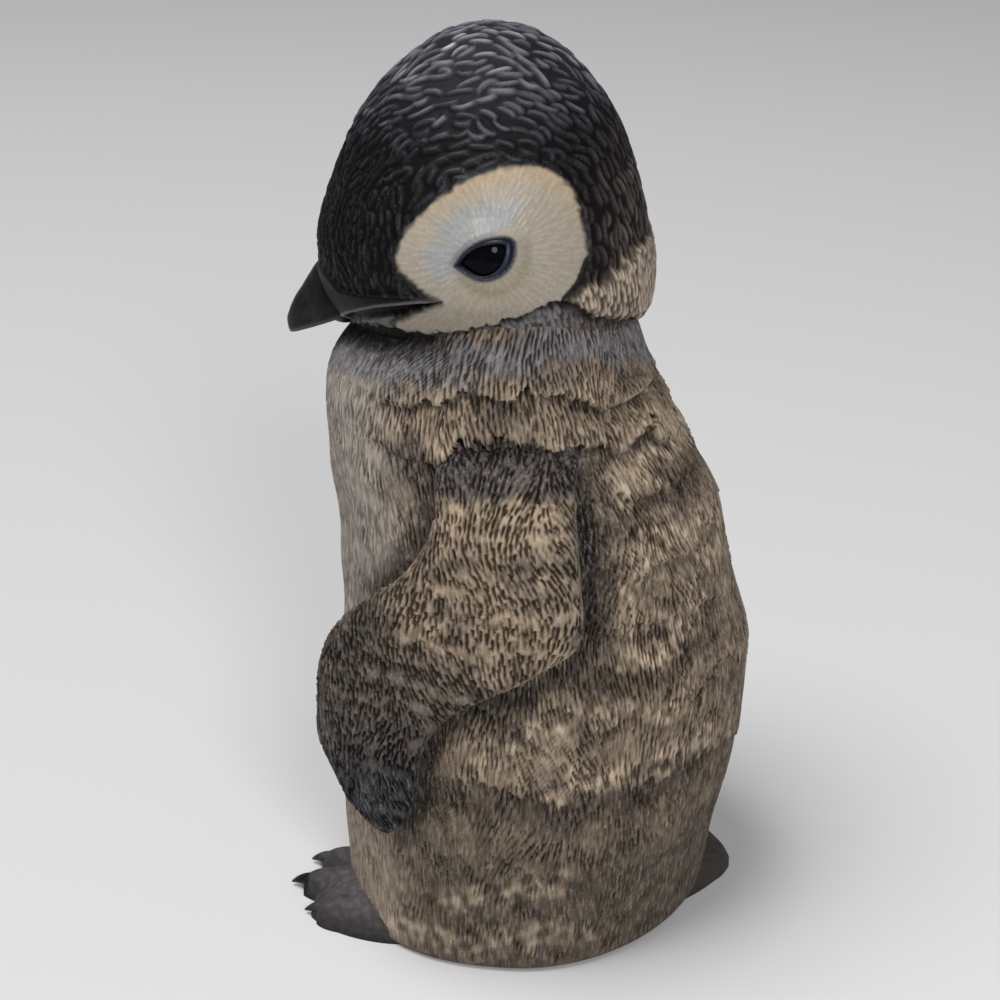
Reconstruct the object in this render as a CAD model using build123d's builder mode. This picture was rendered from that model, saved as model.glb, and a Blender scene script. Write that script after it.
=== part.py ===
"""Penguin chick figurine: a hand-painted cast resin figure that stands on its own base.

The bird faces -Y and its left side is +X. The origin is on the surface it stands on, in the
middle of the base, and +Z is up. Lengths are millimetres, angles are degrees.
"""

import os
from math import cos, radians, sin

from build123d import *

# Torso: an upright egg that leans back, cut flat at the floor and closed by a neck stump. The down
# hangs in tiers, each from its own lip up to a hollow under the next, and least so on the chest
body_height = 104.0
body_depth = 65.5
body_width = 65.6
skirt_round = 1.6
lip_overhang = 0.35
lip_hollow = 0.85
chest_tier_share = 0.3
# Rows of shares: height of body_height, front and back of body_depth, width of body_width, and how
# far the corners of the oval reach along its half sizes at the front and at the back, where 0.707
# is an ellipse
tier_section_shares = [
    (0.000, -0.416, 0.475, 0.969, 0.756, 0.690),
    (0.183, -0.424, 0.524, 1.000, 0.749, 0.696),
    (0.303, -0.426, 0.557, 0.999, 0.738, 0.700),
    (0.423, -0.422, 0.562, 0.983, 0.728, 0.703),
    (0.543, -0.412, 0.512, 0.938, 0.720, 0.706),
    (0.640, -0.419, 0.482, 0.880, 0.715, 0.708),
    (0.721, -0.434, 0.424, 0.826, 0.713, 0.708),
    (0.798, -0.442, 0.356, 0.764, 0.711, 0.708),
    (0.868, -0.423, 0.302, 0.709, 0.708, 0.708),
]
neck_section_shares = [
    (0.908, -0.374, 0.280, 0.700, 0.708, 0.708),
    (0.944, -0.300, 0.257, 0.692, 0.708, 0.708),
    (0.978, -0.235, 0.222, 0.655, 0.708, 0.708),
    (1.000, -0.170, 0.160, 0.540, 0.708, 0.708),
]

# Head: a dome whose lower rim overhangs the neck all round
neck_overlap = 10.0
head_height = 45.2
head_depth_step = 16.1
head_width_step = 16.4
# Rows of shares: height of head_height, front and back of head_depth, width of head_width
head_section_shares = [
    (0.000, -0.372, 0.280, 0.610),
    (0.033, -0.480, 0.357, 0.735),
    (0.090, -0.537, 0.391, 0.835),
    (0.155, -0.571, 0.405, 0.927),
    (0.243, -0.592, 0.406, 0.992),
    (0.355, -0.592, 0.394, 1.000),
    (0.487, -0.555, 0.368, 0.943),
    (0.620, -0.506, 0.330, 0.837),
    (0.752, -0.439, 0.272, 0.707),
    (0.863, -0.348, 0.190, 0.537),
    (0.940, -0.255, 0.105, 0.362),
    (0.980, -0.184, 0.033, 0.220),
    (0.997, -0.110, -0.040, 0.070),
]

# Neck spigot of the torso, glued into the head
spigot_diameter = 14.0
spigot_length = 10.0
spigot_depth = 9.0
spigot_setback = -1.0
glue_gap = 0.15

# Glass eyes behind lids with almond-shaped openings
eye_radius = 5.0
eye_back_depth = 3.2
eye_rise = 17.4
eye_inset = 3.5
face_to_eye = 27.5
eye_forward_turn = 8.0
eye_upward_turn = 4.0
lid_thickness = 0.7
lid_opening_width = 7.8
lid_opening_height = 5.8
lid_opening_tilt = 20.0

# Bill: two mandibles that meet along the gape line, which falls towards the tip
face_to_gape = 19.7
gape_rise = 9.6
gape_slope = 24.0
bill_reach = 27.2
upper_bill_depth = 8.1
upper_bill_width = 10.4
# Rows of shares: distance from the gape of bill_reach, width, depth
upper_bill_shares = [
    (0.500, 0.78, 0.78),
    (0.590, 0.94, 0.94),
    (0.673, 1.00, 1.00),
    (0.754, 0.90, 0.85),
    (0.820, 0.78, 0.70),
    (0.897, 0.60, 0.53),
    (0.952, 0.44, 0.36),
    (0.985, 0.26, 0.22),
    (0.998, 0.12, 0.10),
]
lower_bill_depth = 2.4
lower_bill_width = 8.6
lower_bill_shares = [
    (0.500, 0.84, 0.84),
    (0.600, 1.00, 1.00),
    (0.690, 0.80, 0.76),
    (0.750, 0.30, 0.34),
]

# Flippers: elbowed paddles that hang from the shoulder and turn forward over the belly
flipper_length = 66.0
flipper_top_drop = 15.5
flipper_reach_step = 24.5
flipper_proud = 2.2
flipper_thickness = 7.2
# Rows of shares for the leading edge, then the trailing edge: drop of flipper_length, place along
# Y of the flipper's reach and standoff of its elbow's, and then the thickness of flipper_thickness
flipper_section_shares = [
    (0.000, -0.227, 0.63, 0.000, 0.249, 0.56, 1.00),
    (0.109, -0.226, 0.75, 0.112, 0.260, 0.70, 1.00),
    (0.222, -0.228, 0.83, 0.222, 0.268, 0.83, 1.00),
    (0.322, -0.310, 0.83, 0.334, 0.290, 0.91, 0.98),
    (0.393, -0.452, 0.79, 0.452, 0.283, 0.98, 0.96),
    (0.475, -0.579, 0.75, 0.524, 0.135, 0.99, 0.92),
    (0.578, -0.660, 0.72, 0.585, -0.033, 0.99, 0.86),
    (0.692, -0.687, 0.70, 0.662, -0.186, 0.96, 0.80),
    (0.806, -0.663, 0.71, 0.762, -0.284, 0.92, 0.71),
    (0.909, -0.582, 0.76, 0.881, -0.305, 0.90, 0.58),
    (0.992, -0.461, 0.83, 0.992, -0.376, 0.88, 0.28),
]
shoulder_drop = 10.5
shoulder_setback = 1.0
tenon_diameter = 7.0
tenon_length = 11.0
tenon_root_inset = 8.0

# Feet: a webbed foot with three clawed toes, the right one set back behind the left
foot_height = 8.4
foot_width = 19.6
foot_length = 19.0
skirt_to_heel = 14.9
flank_to_foot = 15.2
foot_toe_in = 12.0
right_foot_setback = 6.5
# Rows of shares: distance from the heel of foot_length, width, height
instep_shares = [
    (0.00, 0.90, 0.95),
    (0.34, 1.03, 0.92),
    (0.63, 0.98, 0.72),
    (0.84, 0.84, 0.50),
    (0.95, 0.70, 0.36),
]
toe_width = 6.6
toe_height = 5.0
toe_root_share = 0.26
# Rows for the inner, middle and outer toe: sideways place of its root and of its end, both of
# foot_width, and the reach of its end of foot_length
toe_shares = [
    (-0.265, -0.357, 1.116),
    (0.010, -0.015, 1.153),
    (0.316, 0.316, 0.889),
]
# Rows of shares: distance from the toe's root to its end, width, height
toe_section_shares = [
    (0.00, 0.90, 1.10),
    (0.55, 1.00, 1.00),
    (0.85, 0.90, 0.80),
    (0.97, 0.66, 0.56),
]
claw_length = 3.6
claw_width = 2.3
claw_height = 1.9
# Rows of shares: distance from the claw's root of claw_length, width, height of its middle
claw_section_shares = [
    (0.00, 1.00, 1.00),
    (0.50, 0.72, 0.86),
    (1.00, 0.16, 0.40),
]

# Tail: a blunt wedge of stiff feathers that lies on the floor
tail_width = 26.8
tail_length = 24.6
tail_height = 8.0
tail_inset = 7.4
tail_root_inset = 9.4
# Rows of shares: height of tail_height, width, length
tail_section_shares = [
    (0.00, 0.965, 0.950),
    (0.19, 1.000, 1.000),
    (0.52, 0.870, 0.800),
    (1.00, 0.520, 0.420),
]

# Felt under the base, between the feet and the tail
felt_side_margin = 9.8
felt_gap = 2.1
felt_thickness = 1.0

overrun = 20.0

# Places that follow from the torso and the head
skirt_front = tier_section_shares[0][1] * body_depth
skirt_back = tier_section_shares[0][2] * body_depth
head_depth = body_depth - head_depth_step
head_width = body_width - head_width_step
head_seam_height = body_height - neck_overlap
face_setback = min(row[1] for row in head_section_shares) * head_depth

os.makedirs("parts", exist_ok=True)


def oval_points(front, back, width, front_corner_share, back_corner_share):
    """Eight points round an oval that spans front to back along Y, from its left side."""
    middle, half_depth, half_width = (front + back) / 2, (back - front) / 2, width / 2
    around = [
        (1, 0),
        (back_corner_share, back_corner_share),
        (0, 1),
        (-back_corner_share, back_corner_share),
        (-1, 0),
        (-front_corner_share, -front_corner_share),
        (0, -1),
        (front_corner_share, -front_corner_share),
    ]
    return [(x * half_width, middle + y * half_depth) for x, y in around]


def ellipse_between(front, back, width):
    """Draws an ellipse in the current sketch that spans front to back along Y."""
    with Locations((0, (front + back) / 2)):
        Ellipse(width / 2, (back - front) / 2)


# Torso form, which the neighbours are trimmed against: its tiers and then its neck, each of them
# the rows of one loft with how far each row stands out
torso_lofts = [
    [(lip, lip_overhang), (next_lip, -lip_hollow)]
    for lip, next_lip in zip(tier_section_shares, tier_section_shares[1:])
]
torso_lofts.append([(tier_section_shares[-1], lip_overhang)] + [(row, 0) for row in neck_section_shares])

with BuildPart() as body_form:
    for torso_loft in torso_lofts:
        for (height, front, back, width, *corner_shares), stand_out in torso_loft:
            with BuildSketch(Plane.XY.offset(height * body_height)):
                outline = oval_points(
                    front * body_depth - stand_out * chest_tier_share,
                    back * body_depth + stand_out,
                    width * body_width + 2 * stand_out,
                    *corner_shares,
                )
                with BuildLine():
                    Spline(*outline, periodic=True)
                make_face()
        loft()
    fillet(body_form.edges().group_by(Axis.Z)[0], skirt_round)

# Head form
with BuildPart() as head_form:
    for height, front, back, width in head_section_shares:
        with BuildSketch(Plane.XY.offset(head_seam_height + height * head_height)):
            ellipse_between(front * head_depth, back * head_depth, width * head_width)
    loft()

# Bill: D-shaped sections whose flats lie on the gape line
bill_slope = radians(gape_slope)
bill_axis = Vector(0, -cos(bill_slope), -sin(bill_slope))
gape_corner = Vector(0, face_setback + face_to_gape, head_seam_height + gape_rise)


def mandible_plane(reach_share):
    """A plane square to the bill, with its origin on the gape line and its Y towards the brow."""
    place = gape_corner + bill_axis * (reach_share * bill_reach)
    return Plane(place, x_dir=(1, 0, 0), z_dir=bill_axis)


def half_ellipse(width, depth, cut_side):
    """Draws an ellipse about the gape line without its half on the cut side."""
    Ellipse(width / 2, depth)
    Rectangle(width + overrun, depth + overrun, align=(Align.CENTER, cut_side), mode=Mode.SUBTRACT)


with BuildPart() as upper_bill:
    for reach, width, depth in upper_bill_shares:
        with BuildSketch(mandible_plane(reach)):
            half_ellipse(width * upper_bill_width, depth * upper_bill_depth, Align.MAX)
    loft()

with BuildPart() as lower_bill:
    for reach, width, depth in lower_bill_shares:
        with BuildSketch(mandible_plane(reach)):
            half_ellipse(width * lower_bill_width, depth * lower_bill_depth, Align.MIN)
    loft()
    add(body_form.part, mode=Mode.SUBTRACT)

# Left eye: a glass dome with a flat back, looking out along its own axis
eye_turn, eye_tilt, opening_tilt = map(
    radians, (eye_forward_turn, eye_upward_turn, lid_opening_tilt)
)
eye_axis = Vector(cos(eye_turn) * cos(eye_tilt), -sin(eye_turn) * cos(eye_tilt), sin(eye_tilt))
eye_centre = Vector(
    head_width / 2 - eye_inset, face_setback + face_to_eye, head_seam_height + eye_rise
)
towards_nape = Vector(0, cos(opening_tilt), sin(opening_tilt))
eye_plane = Plane(
    eye_centre, x_dir=towards_nape - eye_axis * towards_nape.dot(eye_axis), z_dir=eye_axis
)

with BuildPart() as left_eye:
    with Locations(eye_plane):
        Sphere(eye_radius)
    split(bisect_by=eye_plane.offset(-eye_back_depth), keep=Keep.TOP)

with BuildPart() as right_eye:
    mirror(left_eye.part, about=Plane.YZ)

# Lids: a skin over each eye, opened where two arcs cross
with BuildPart() as lids:
    with Locations(eye_plane):
        Sphere(eye_radius + lid_thickness)
    mirror(about=Plane.YZ)

lid_arc_radius = (lid_opening_width**2 + lid_opening_height**2) / (4 * lid_opening_height)
lid_arc_shift = lid_arc_radius - lid_opening_height / 2

with BuildPart() as lid_openings:
    with BuildSketch(eye_plane):
        with Locations((0, lid_arc_shift)):
            Circle(lid_arc_radius)
        with Locations((0, -lid_arc_shift)):
            Circle(lid_arc_radius, mode=Mode.INTERSECT)
    extrude(amount=eye_radius + overrun)
    mirror(about=Plane.YZ)

# Left flipper form: a loft of flat ellipses from the shoulder to the tip, with a peg at its root
flipper_top_height = body_height - flipper_top_drop
flipper_reach = body_depth - flipper_reach_step
flipper_standoff = body_width / 2 + flipper_proud


def flipper_point(drop, along, standoff):
    """A point of the flipper from its shares of length, reach and standoff."""
    height = flipper_top_height - drop * flipper_length
    return Vector(standoff * flipper_standoff, along * flipper_reach, height)


leading_edge = [flipper_point(*row[0:3]) for row in flipper_section_shares]
trailing_edge = [flipper_point(*row[3:6]) for row in flipper_section_shares]
flipper_line = [(lead + trail) * 0.5 for lead, trail in zip(leading_edge, trailing_edge)]
flipper_headings = [
    after - before
    for before, after in zip([flipper_line[0]] + flipper_line, flipper_line[1:] + [flipper_line[-1]])
]
shoulder_height = flipper_top_height - shoulder_drop
tenon_root_standoff = flipper_standoff - tenon_root_inset
tenon_plane = Plane((tenon_root_standoff, shoulder_setback, shoulder_height), z_dir=(-1, 0, 0))

with BuildPart() as flipper_form:
    for index, row in enumerate(flipper_section_shares):
        chord = trailing_edge[index] - leading_edge[index]
        across = chord.cross(flipper_headings[index])
        with BuildSketch(Plane(flipper_line[index], x_dir=chord, z_dir=chord.cross(across))):
            Ellipse(chord.length / 2, row[6] * flipper_thickness / 2)
    loft()
    with BuildSketch(tenon_plane):
        Circle(tenon_diameter / 2)
    extrude(amount=tenon_length)

with BuildPart() as shoulder_sockets:
    with BuildSketch(tenon_plane.offset(-overrun)):
        Circle(tenon_diameter / 2 + glue_gap)
    extrude(amount=tenon_length + glue_gap + overrun)
    mirror(about=Plane.YZ)

# Left foot: an instep, three toes and their claws, cut flat at the floor
upward = Vector(0, 0, 1)
foot_heading = Vector(0, -1, 0).rotate(Axis.Z, -foot_toe_in)
foot_sideways = upward.cross(foot_heading)
foot_heel = Vector(body_width / 2 - flank_to_foot, skirt_front + skirt_to_heel, 0)


def foot_point(sideways_share, reach_share):
    """A point on the floor from shares of the foot's width and length."""
    sideways = foot_sideways * (sideways_share * foot_width)
    return foot_heel + sideways + foot_heading * (reach_share * foot_length)


def upright_plane(place, heading):
    """A plane that faces along the heading and stands upright."""
    return Plane(place, x_dir=upward.cross(heading), z_dir=heading)


with BuildPart() as left_foot:
    for reach, width, height in instep_shares:
        with BuildSketch(upright_plane(foot_point(0, reach), foot_heading)):
            Ellipse(width * foot_width / 2, height * foot_height)
    loft()
    for root_sideways, end_sideways, end_reach in toe_shares:
        toe_root = foot_point(root_sideways, toe_root_share)
        toe = foot_point(end_sideways, end_reach) - toe_root
        toe_heading = toe.normalized()
        for distance, width, height in toe_section_shares:
            with BuildSketch(upright_plane(toe_root + toe * distance, toe_heading)):
                Ellipse(width * toe_width / 2, height * toe_height)
        loft()
        claw_root = toe_root + toe - toe_heading * (claw_width / 2)
        for distance, width, height in claw_section_shares:
            place = claw_root + toe_heading * (distance * claw_length) + upward * (height * claw_height)
            with BuildSketch(upright_plane(place, toe_heading)):
                Circle(width * claw_width / 2)
        loft()
    split(bisect_by=Plane.XY, keep=Keep.TOP)

with BuildPart() as right_foot:
    with Locations((0, right_foot_setback, 0)):
        add(mirror(left_foot.part, about=Plane.YZ, mode=Mode.PRIVATE))

# Tail
tail_root_setback = skirt_back - tail_root_inset

with BuildPart() as tail:
    for height, width, length in tail_section_shares:
        with BuildSketch(Plane.XY.offset(height * tail_height)):
            with Locations((0, skirt_back - tail_inset)):
                Ellipse(width * tail_width / 2, length * tail_length / 2)
    loft()
    split(bisect_by=Plane.XZ.offset(-tail_root_setback), keep=Keep.BOTTOM)

# Felt pad, let into the base
felt_front = foot_heel.Y + right_foot_setback + felt_gap
felt_back = tail_root_setback - felt_gap

with BuildPart() as felt_pad:
    with BuildSketch():
        ellipse_between(felt_front, felt_back, body_width - 2 * felt_side_margin)
    extrude(amount=felt_thickness)

# Torso casting: the form with its neck spigot, less the seats of what is glued to it
spigot_root = Plane((0, spigot_setback, body_height - spigot_depth), z_dir=(0, 0, 1))

with BuildPart() as body:
    add(body_form.part)
    with BuildSketch(spigot_root):
        Circle(spigot_diameter / 2)
    extrude(amount=spigot_depth + spigot_length)
    for piece in (left_foot, right_foot, tail, felt_pad, shoulder_sockets):
        add(piece.part, mode=Mode.SUBTRACT)

# Flippers, trimmed to the torso and its sockets
with BuildPart() as left_flipper:
    add(flipper_form.part)
    add(body.part, mode=Mode.SUBTRACT)

with BuildPart() as right_flipper:
    mirror(flipper_form.part, about=Plane.YZ)
    add(body.part, mode=Mode.SUBTRACT)

# Head casting: the form with its lids, less the neck, the bill and the eyes
with BuildPart() as head:
    add(head_form.part)
    add(lids.part)
    for piece in (lid_openings, body_form, upper_bill, lower_bill, left_eye, right_eye):
        add(piece.part, mode=Mode.SUBTRACT)
    with BuildSketch(spigot_root):
        Circle(spigot_diameter / 2 + glue_gap)
    extrude(amount=spigot_depth + spigot_length + glue_gap, mode=Mode.SUBTRACT)

pieces = {
    "body": body,
    "head": head,
    "upper_bill": upper_bill,
    "lower_bill": lower_bill,
    "left_eye": left_eye,
    "right_eye": right_eye,
    "left_flipper": left_flipper,
    "right_flipper": right_flipper,
    "left_foot": left_foot,
    "right_foot": right_foot,
    "tail": tail,
    "felt_pad": felt_pad,
}
for name, piece in pieces.items():
    piece.part.label = name
    export_step(piece.part, f"parts/{name}.step")
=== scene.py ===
"""Penguin chick figurine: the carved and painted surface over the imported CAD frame.

Forms are worked out in millimetres in the frame of the CAD and go to Blender in metres. Paint is
laid by where a place shows in the photograph, whose pixels are 1000 across, and both sides of the
bird are painted alike.
"""

from math import ceil, cos, log, pi, radians, sin

import bpy
import numpy as np
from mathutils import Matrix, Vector


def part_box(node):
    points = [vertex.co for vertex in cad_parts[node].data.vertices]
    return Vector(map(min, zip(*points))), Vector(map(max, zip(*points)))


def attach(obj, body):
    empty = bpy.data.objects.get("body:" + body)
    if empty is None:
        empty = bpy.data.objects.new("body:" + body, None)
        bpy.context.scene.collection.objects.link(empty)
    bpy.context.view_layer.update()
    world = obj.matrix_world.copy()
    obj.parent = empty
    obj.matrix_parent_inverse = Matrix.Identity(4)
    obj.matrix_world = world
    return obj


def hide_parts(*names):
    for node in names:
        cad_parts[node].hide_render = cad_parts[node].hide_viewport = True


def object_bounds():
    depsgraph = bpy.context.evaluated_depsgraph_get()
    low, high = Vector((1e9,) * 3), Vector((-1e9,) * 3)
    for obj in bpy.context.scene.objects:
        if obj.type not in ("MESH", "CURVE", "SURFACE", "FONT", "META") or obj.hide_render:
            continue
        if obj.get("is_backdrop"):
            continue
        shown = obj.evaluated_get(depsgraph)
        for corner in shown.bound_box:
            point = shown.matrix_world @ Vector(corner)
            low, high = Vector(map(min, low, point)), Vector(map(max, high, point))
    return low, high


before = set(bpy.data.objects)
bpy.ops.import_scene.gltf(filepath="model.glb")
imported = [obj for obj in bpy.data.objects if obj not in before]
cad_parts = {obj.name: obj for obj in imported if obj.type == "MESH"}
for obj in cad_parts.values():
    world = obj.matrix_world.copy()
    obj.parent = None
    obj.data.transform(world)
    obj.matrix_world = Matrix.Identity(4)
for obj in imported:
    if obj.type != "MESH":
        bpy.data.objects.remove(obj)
cad_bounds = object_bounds()

METRES = 0.001

# Rows and columns of the carved skins and the tail, where the torso's rows are those of its wall
torso_grid = (180, 960)
head_grid = (300, 420)
flipper_grid = (320, 360)
tail_grid = (60, 96)

# How deep the strokes go, and how far the torso and the flippers are drawn in under them
torso_slit_depth = 0.34
torso_inset = 0.02
flipper_slit_depth = 0.38
flipper_inset = 0.06
hood_groove_depth = 0.52

# The camera of the photograph
camera_distance = 290.0
camera_elevation = radians(24.0)
camera_azimuth = radians(95.0)
camera_target = np.array([5.3, 0.2, 68.0])
target_pixel = np.array([515.0, 500.0])
focal_pixels = 1900.0
frame_pixels = 1000.0
sensor_width = 36.0

towards_camera = np.array(
    [
        sin(camera_azimuth) * cos(camera_elevation),
        -cos(camera_azimuth) * cos(camera_elevation),
        sin(camera_elevation),
    ]
)
camera_place = camera_target + camera_distance * towards_camera
camera_right = np.cross(-towards_camera, [0.0, 0.0, 1.0])
camera_right /= np.linalg.norm(camera_right)
camera_up = np.cross(camera_right, -towards_camera)

# Torso, as in the CAD: tiers of down, each from its own lip up to a hollow under the next, in rows of
# shares of height, front, back, width, front corner and back corner
body_height = 104.0
body_depth = 65.5
body_width = 65.6
skirt_round = 1.6
lip_overhang = 0.35
lip_hollow = 0.85
tier_section_shares = [
    (0.000, -0.416, 0.475, 0.969, 0.756, 0.690),
    (0.183, -0.424, 0.524, 1.000, 0.749, 0.696),
    (0.303, -0.426, 0.557, 0.999, 0.738, 0.700),
    (0.423, -0.422, 0.562, 0.983, 0.728, 0.703),
    (0.543, -0.412, 0.512, 0.938, 0.720, 0.706),
    (0.640, -0.419, 0.482, 0.880, 0.715, 0.708),
    (0.721, -0.434, 0.424, 0.826, 0.713, 0.708),
    (0.798, -0.442, 0.356, 0.764, 0.711, 0.708),
    (0.868, -0.423, 0.302, 0.709, 0.708, 0.708),
]
neck_section_shares = [
    (0.908, -0.374, 0.280, 0.700, 0.708, 0.708),
    (0.944, -0.300, 0.257, 0.692, 0.708, 0.708),
    (0.978, -0.235, 0.222, 0.655, 0.708, 0.708),
    (1.000, -0.170, 0.160, 0.540, 0.708, 0.708),
]
# How much the two highest lips lie above their tiers' rows at places along Y
collar_lifts = [
    (-30.0, -0.5, 0.0),
    (-15.0, 0.0, 0.0),
    (-9.0, 0.2, -0.7),
    (-4.0, 2.2, 1.9),
    (1.0, 0.8, 2.6),
    (8.0, 1.0, 0.0),
    (13.0, -2.5, 0.0),
    (17.0, -4.0, 0.0),
    (25.0, -4.0, 0.0),
]
# How far the shoulder swells, and how deep the crease behind the flipper is
shoulder_swell = 1.1
crease_depth = 0.5
felt_step = 0.35

# Where the left foot's claws begin along Y, and how much further back the right foot lies
left_claw_place = -32.6
right_foot_setback = 6.5

# Head, as in the CAD: rows of shares of height, front, back and width
head_seam_height = 94.0
head_height = 45.2
head_depth = 49.4
head_width = 49.2
head_section_shares = [
    (0.000, -0.372, 0.280, 0.610),
    (0.033, -0.480, 0.357, 0.735),
    (0.090, -0.537, 0.391, 0.835),
    (0.155, -0.571, 0.405, 0.927),
    (0.243, -0.592, 0.406, 0.992),
    (0.355, -0.592, 0.394, 1.000),
    (0.487, -0.555, 0.368, 0.943),
    (0.620, -0.506, 0.330, 0.837),
    (0.752, -0.439, 0.272, 0.707),
    (0.863, -0.348, 0.190, 0.537),
    (0.940, -0.255, 0.105, 0.362),
    (0.980, -0.184, 0.033, 0.220),
    (0.997, -0.110, -0.040, 0.070),
]
head_middle = np.array([0.0, -2.9, 111.6])

# Eyes, whose centre and radius are those of the CAD node
eye_low, eye_high = (np.array(corner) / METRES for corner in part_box("left_eye"))
eye_radius = (eye_high[2] - eye_low[2]) / 2
eye_centre = np.array(
    [eye_high[0] - eye_radius, (eye_low[1] + eye_high[1]) / 2, (eye_low[2] + eye_high[2]) / 2]
)
eye_forward_turn = radians(8.0)
eye_upward_turn = radians(4.0)
lid_thickness = 0.7
lid_opening_tilt = radians(20.0)
# The lids' edges from the front corner to the back one: places towards the nape and the crown,
# which were solved outside this script from points read off the photograph, and then rounded
upper_lid = [(-4.0, 0.55), (-2.0, 1.9), (0.0, 2.45), (1.9, 2.3), (3.2, 1.85), (4.0, 1.2)]
lower_lid = [(-4.0, 0.55), (-3.2, -0.25), (-2.4, -1.15), (-1.1, -2.1), (0.8, -2.25), (2.4, -1.6), (3.5, -0.3),
             (4.0, 1.2)]  # fmt: skip
lid_rim_radius = 0.27
lid_rim_standoff = 0.35
lid_rim_stretch = 1.7
# How far from its centre the eye shapes the face
eye_zone = 9.0

# Bill, as in the CAD: rows of shares of reach, width and depth
face_setback = -29.24
gape_corner = np.array([0.0, face_setback + 19.7, head_seam_height + 9.6])
gape_slope = radians(24.0)
bill_reach = 27.2
upper_bill_depth = 8.1
upper_bill_width = 10.4
upper_bill_shares = [
    (0.500, 0.78, 0.78),
    (0.590, 0.94, 0.94),
    (0.673, 1.00, 1.00),
    (0.754, 0.90, 0.85),
    (0.820, 0.78, 0.70),
    (0.897, 0.60, 0.53),
    (0.952, 0.44, 0.36),
    (0.985, 0.26, 0.22),
    (0.998, 0.12, 0.10),
]
lower_bill_depth = 2.4
lower_bill_width = 8.6
lower_bill_shares = [
    (0.500, 0.84, 0.84),
    (0.600, 1.00, 1.00),
    (0.690, 0.80, 0.76),
    (0.750, 0.30, 0.34),
]

# Flippers, as in the CAD but for a root that sinks into the down: rows of shares of the leading
# edge's drop, place and standoff, the trailing edge's, and the thickness
flipper_top_height = 88.5
flipper_length = 66.0
flipper_reach = 41.0
flipper_standoff = 35.0
flipper_thickness = 7.2
flipper_section_shares = [
    (0.000, -0.227, 0.55, 0.000, 0.249, 0.48, 1.00),
    (0.109, -0.226, 0.73, 0.112, 0.260, 0.69, 1.00),
    (0.222, -0.228, 0.83, 0.222, 0.268, 0.83, 1.00),
    (0.322, -0.310, 0.83, 0.334, 0.290, 0.91, 0.98),
    (0.393, -0.452, 0.79, 0.452, 0.283, 0.98, 0.96),
    (0.475, -0.579, 0.75, 0.524, 0.135, 0.99, 0.92),
    (0.578, -0.660, 0.72, 0.585, -0.033, 0.99, 0.86),
    (0.692, -0.687, 0.70, 0.662, -0.186, 0.96, 0.80),
    (0.806, -0.663, 0.71, 0.762, -0.284, 0.92, 0.71),
    (0.909, -0.582, 0.76, 0.881, -0.305, 0.90, 0.58),
    (0.992, -0.461, 0.83, 0.992, -0.376, 0.88, 0.28),
]
# How far the root sinks towards the torso, and the heights between which it goes in
root_sink = 4.5
sink_start_height = 81.0
sink_end_height = 86.5

# Tail, a wedge that lies lower than the CAD's: places along Y, heights of the top and half widths
tail_sections = [
    (22.0, 7.0, 13.0),
    (26.0, 6.4, 12.4),
    (30.0, 5.6, 9.2),
    (33.0, 4.3, 5.6),
    (35.0, 2.7, 2.7),
    (35.8, 1.5, 0.8),
]
tail_floor = 0.05

# Floor and light, in metres and watts: each lamp's name, place, size and power
floor_half_span = 3
world_strength = 0.27
aim_height = 0.07
lamps = [
    ("overhead", (0.20, -0.45, 1.62), 0.95, 20.5),
    ("window", (0.55, 0.19, 0.45), 0.20, 2.2),
]

# Columns and rows of the photograph between which paint or carving changes, in pixels
chin_row = 335
fine_column, fine_row = 395, 110
rear_columns, rear_rows = (560, 640), (80, 200)
fore_shade_columns, fore_shade_rows = (350, 480), (110, 200)
ridge_highlight_columns = (380, 520)
mask_top_row = 225
mask_foot_rows = (300, 318)
jaw_columns = (340, 372)
collar_rear_columns = (540, 600)
collar_shadow_columns = (400, 470)
ruff_shadow_columns = (400, 460)
wing_top_row = 516
wing_band_column = 455
wing_shade_columns = (330, 430)
wing_low_rows = (690, 790)
wing_tip_rows = (740, 810)

# Lines of the photograph, in pixels
mask_outline = [
    (396, 262), (398, 245), (410, 225), (430, 205), (455, 187), (480, 174), (505, 167), (530, 165),
    (547, 168), (562, 178), (573, 192), (580, 210), (584, 232), (588, 254), (583, 272), (574, 288),
    (562, 301), (548, 306), (520, 317), (490, 327), (460, 332), (430, 334), (400, 331), (388, 326),
    (405, 318), (425, 310), (441, 303), (425, 293), (410, 281), (400, 272),
]  # fmt: skip
neck_edge = [(340, 322), (388, 329), (430, 334), (470, 330), (520, 317), (548, 305), (560, 302),
             (572, 306), (590, 316), (615, 321), (650, 318)]  # fmt: skip
nape_patch = [(566, 304), (573, 291), (590, 284), (607, 276), (622, 262), (634, 248), (650, 236),
              (662, 262), (660, 305), (640, 321), (607, 323), (585, 314)]  # fmt: skip
ear_crease = [(588, 262), (580, 284), (566, 300), (572, 307)]
bill_skin = [(306, 252), (318, 262), (327, 274), (340, 290), (362, 295), (413, 297), (441, 301),
             (436, 304), (420, 304), (377, 308), (347, 314), (342, 320), (321, 330), (297, 336),
             (270, 334), (270, 262)]  # fmt: skip
mouth_gap = [(442, 302), (420, 304), (377, 308), (348, 314), (350, 321), (377, 318), (402, 312)]
lower_jaw = [(330, 312), (348, 314), (350, 321), (377, 318), (394, 316), (386, 328), (345, 327),
             (330, 324)]  # fmt: skip
mouth_ridge = [(338, 316), (347, 312), (362, 308), (377, 305), (419, 301), (438, 302)]
under_eye = [(470, 292), (520, 280)]
shoulder_line = [(470, 522), (500, 514), (540, 506), (580, 500)]
brow_blue = [(440, 262), (452, 235), (475, 222), (505, 216)]
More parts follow.
